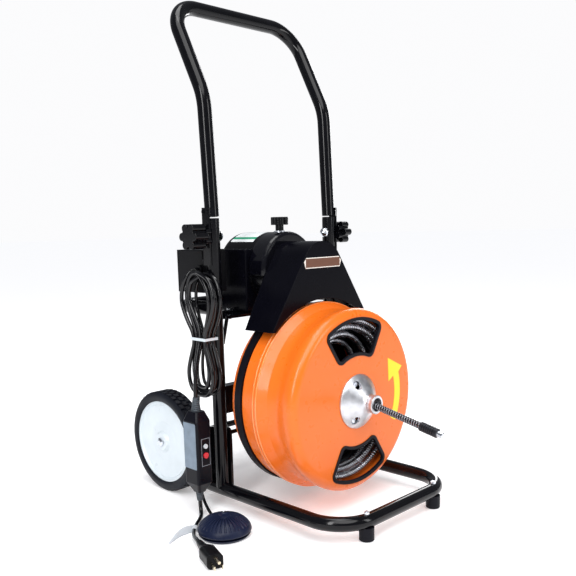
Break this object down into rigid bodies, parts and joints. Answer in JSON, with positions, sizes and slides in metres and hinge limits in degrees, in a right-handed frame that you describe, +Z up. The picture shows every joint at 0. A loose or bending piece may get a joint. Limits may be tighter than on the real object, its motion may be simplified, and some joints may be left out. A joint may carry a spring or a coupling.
{
  "type": "drain cleaning machine",
  "caption": "Drum drain cleaner on a wheeled tube frame: belt-driven orange cable drum, motor under a black guard, folding handle, safety plug cord and air pedal.",
  "frame": {"origin": "on the floor, below the middle of the machine's own footprint (without the free cord and hose)", "axes": "+Z up, -Y towards the cable outlet at the front, +X to the machine's right-hand side seen from the back"},
  "size_m": [0.5555, 0.6367, 0.9297],
  "materials": {
    "frame_paint": "gloss black powder coat",
    "motor_paint": "satin black paint",
    "guard_paint": "satin black paint",
    "orange_shell": "gloss orange",
    "cast_alloy": "cast, satin",
    "spring_steel": "oiled spring wire",
    "dark_steel": "blackened steel",
    "zinc": "bright zinc plate",
    "black_plastic": "moulded, fine grain",
    "knob_plastic": "moulded, gloss",
    "black_rubber": "matt",
    "cord_jacket": "smooth jacket",
    "tyre_rubber": "matt, block tread",
    "white_plastic": "white",
    "pedal_plastic": "dark blue-black",
    "label": "blank printed film",
    "yellow_decal": "yellow film",
    "white_film": "woven tag",
    "red_plastic": "red",
    "plug_brass": "nickelled brass"
  },
  "bodies": {
    "frame": {"base_frame": "frame_paint", "posts": "frame_paint", "tube_plugs": "black_plastic", "cross_members": "frame_paint", "rear_loop": "frame_paint", "axle_brackets": "frame_paint", "front_feet": "black_rubber", "frame_bolts": "zinc", "wheel_retainers": "zinc", "wheel_axle": "zinc", "drum_axle": "dark_steel", "drive_belt": "black_rubber", "motor_body": "motor_paint", "motor_end_cap": "motor_paint", "motor_cradle": "guard_paint", "motor_brackets": "frame_paint", "belt_guard": "guard_paint", "guard_hump": "guard_paint", "blank_labels": "label", "knob_spacers": "knob_plastic", "switch_box": "black_plastic", "switch_box_lid": "black_plastic", "switch_box_internals": "black_plastic", "cord_glands": "black_plastic", "cord_hank": "cord_jacket", "cord_tie": "white_plastic", "power_cord_upper": "cord_jacket", "power_cord_lower": "cord_jacket", "air_hose": "cord_jacket", "gfci_body": "black_plastic", "gfci_strain_reliefs": "black_rubber", "cord_tag": "white_film", "plug_body": "black_plastic", "plug_prongs": "plug_brass", "pedal_base": "pedal_plastic"},
    "handle": {"handle_tube": "frame_paint", "fold_plates": "frame_paint"},
    "left_clamp_knob": {"knob_left": "knob_plastic"},
    "right_clamp_knob": {"knob_right": "knob_plastic"},
    "tension_knob": {"guard_knob": "knob_plastic"},
    "drum": {"drum_front_shell": "orange_shell", "drum_rear_shell": "orange_shell", "slot_trims": "black_rubber", "hub_nozzle": "cast_alloy", "drum_screws": "zinc", "rotation_arrow": "yellow_decal", "cable_coil": "spring_steel", "drum_bearing": "dark_steel"},
    "motor_rotor": {"motor_shaft": "zinc", "motor_pulley": "dark_steel"},
    "cable": {"snake_cable": "spring_steel", "snake_coupling": "dark_steel"},
    "left_wheel": {"wheel_disc_left": "white_plastic", "tyre_left": "tyre_rubber"},
    "right_wheel": {"wheel_disc_right": "white_plastic", "tyre_right": "tyre_rubber"},
    "rocker": {"reversing_rocker": "knob_plastic"},
    "test_push": {"test_button": "white_plastic"},
    "reset_push": {"reset_button": "red_plastic"},
    "pedal_top": {"pedal_dome": "pedal_plastic"}
  },
  "joints": [
    {"name": "handle_fold", "type": "hinge", "parent": "frame", "child": "handle", "pos_m": [0, 0.066, 0.506], "axis": [1, 0, 0], "range_deg": [0, 120]},
    {"name": "left_clamp_turn", "type": "hinge", "parent": "frame", "child": "left_clamp_knob", "pos_m": [-0.2, 0.066, 0.506], "axis": [-1, 0, 0], "range_deg": [0, 360]},
    {"name": "right_clamp_turn", "type": "hinge", "parent": "frame", "child": "right_clamp_knob", "pos_m": [0.2, 0.066, 0.506], "axis": [1, 0, 0], "range_deg": [0, 360]},
    {"name": "tension_turn", "type": "hinge", "parent": "frame", "child": "tension_knob", "pos_m": [0, 0.053, 0.52], "axis": [0, 0, 1], "range_deg": [0, 360]},
    {"name": "drum_spin", "type": "hinge", "parent": "frame", "child": "drum", "pos_m": [0, 0, 0.2054], "axis": [0, -1, 0], "continuous": true},
    {"name": "motor_spin", "type": "hinge", "parent": "frame", "child": "motor_rotor", "pos_m": [0, 0, 0.4386], "axis": [0, -1, 0], "continuous": true},
    {"name": "cable_feed", "type": "slide", "parent": "frame", "child": "cable", "axis": [0, -0.9789, -0.2045], "range_m": [-0.085, 0.055]},
    {"name": "left_wheel_spin", "type": "hinge", "parent": "frame", "child": "left_wheel", "pos_m": [-0.165, 0.216, 0.1016], "axis": [1, 0, 0], "continuous": true},
    {"name": "right_wheel_spin", "type": "hinge", "parent": "frame", "child": "right_wheel", "pos_m": [0.165, 0.216, 0.1016], "axis": [1, 0, 0], "continuous": true},
    {"name": "rocker_tilt", "type": "hinge", "parent": "frame", "child": "rocker", "pos_m": [-0.138, 0.155, 0.452], "axis": [1, 0, 0], "range_deg": [-12, 12]},
    {"name": "test_press", "type": "slide", "parent": "frame", "child": "test_push", "axis": [0, 1, 0], "range_m": [0, 0.0015], "stiffness_N_per_m": 600, "springref_m": -0.001},
    {"name": "reset_press", "type": "slide", "parent": "frame", "child": "reset_push", "axis": [0, 1, 0], "range_m": [0, 0.0015], "stiffness_N_per_m": 600, "springref_m": -0.001},
    {"name": "pedal_press", "type": "slide", "parent": "frame", "child": "pedal_top", "axis": [0, 0, -1], "range_m": [0, 0.004], "stiffness_N_per_m": 1500, "springref_m": -0.003}
  ],
  "couplings": [
    {"joint": "motor_spin", "follows": "drum_spin", "ratio": 8.1942}
  ]
}
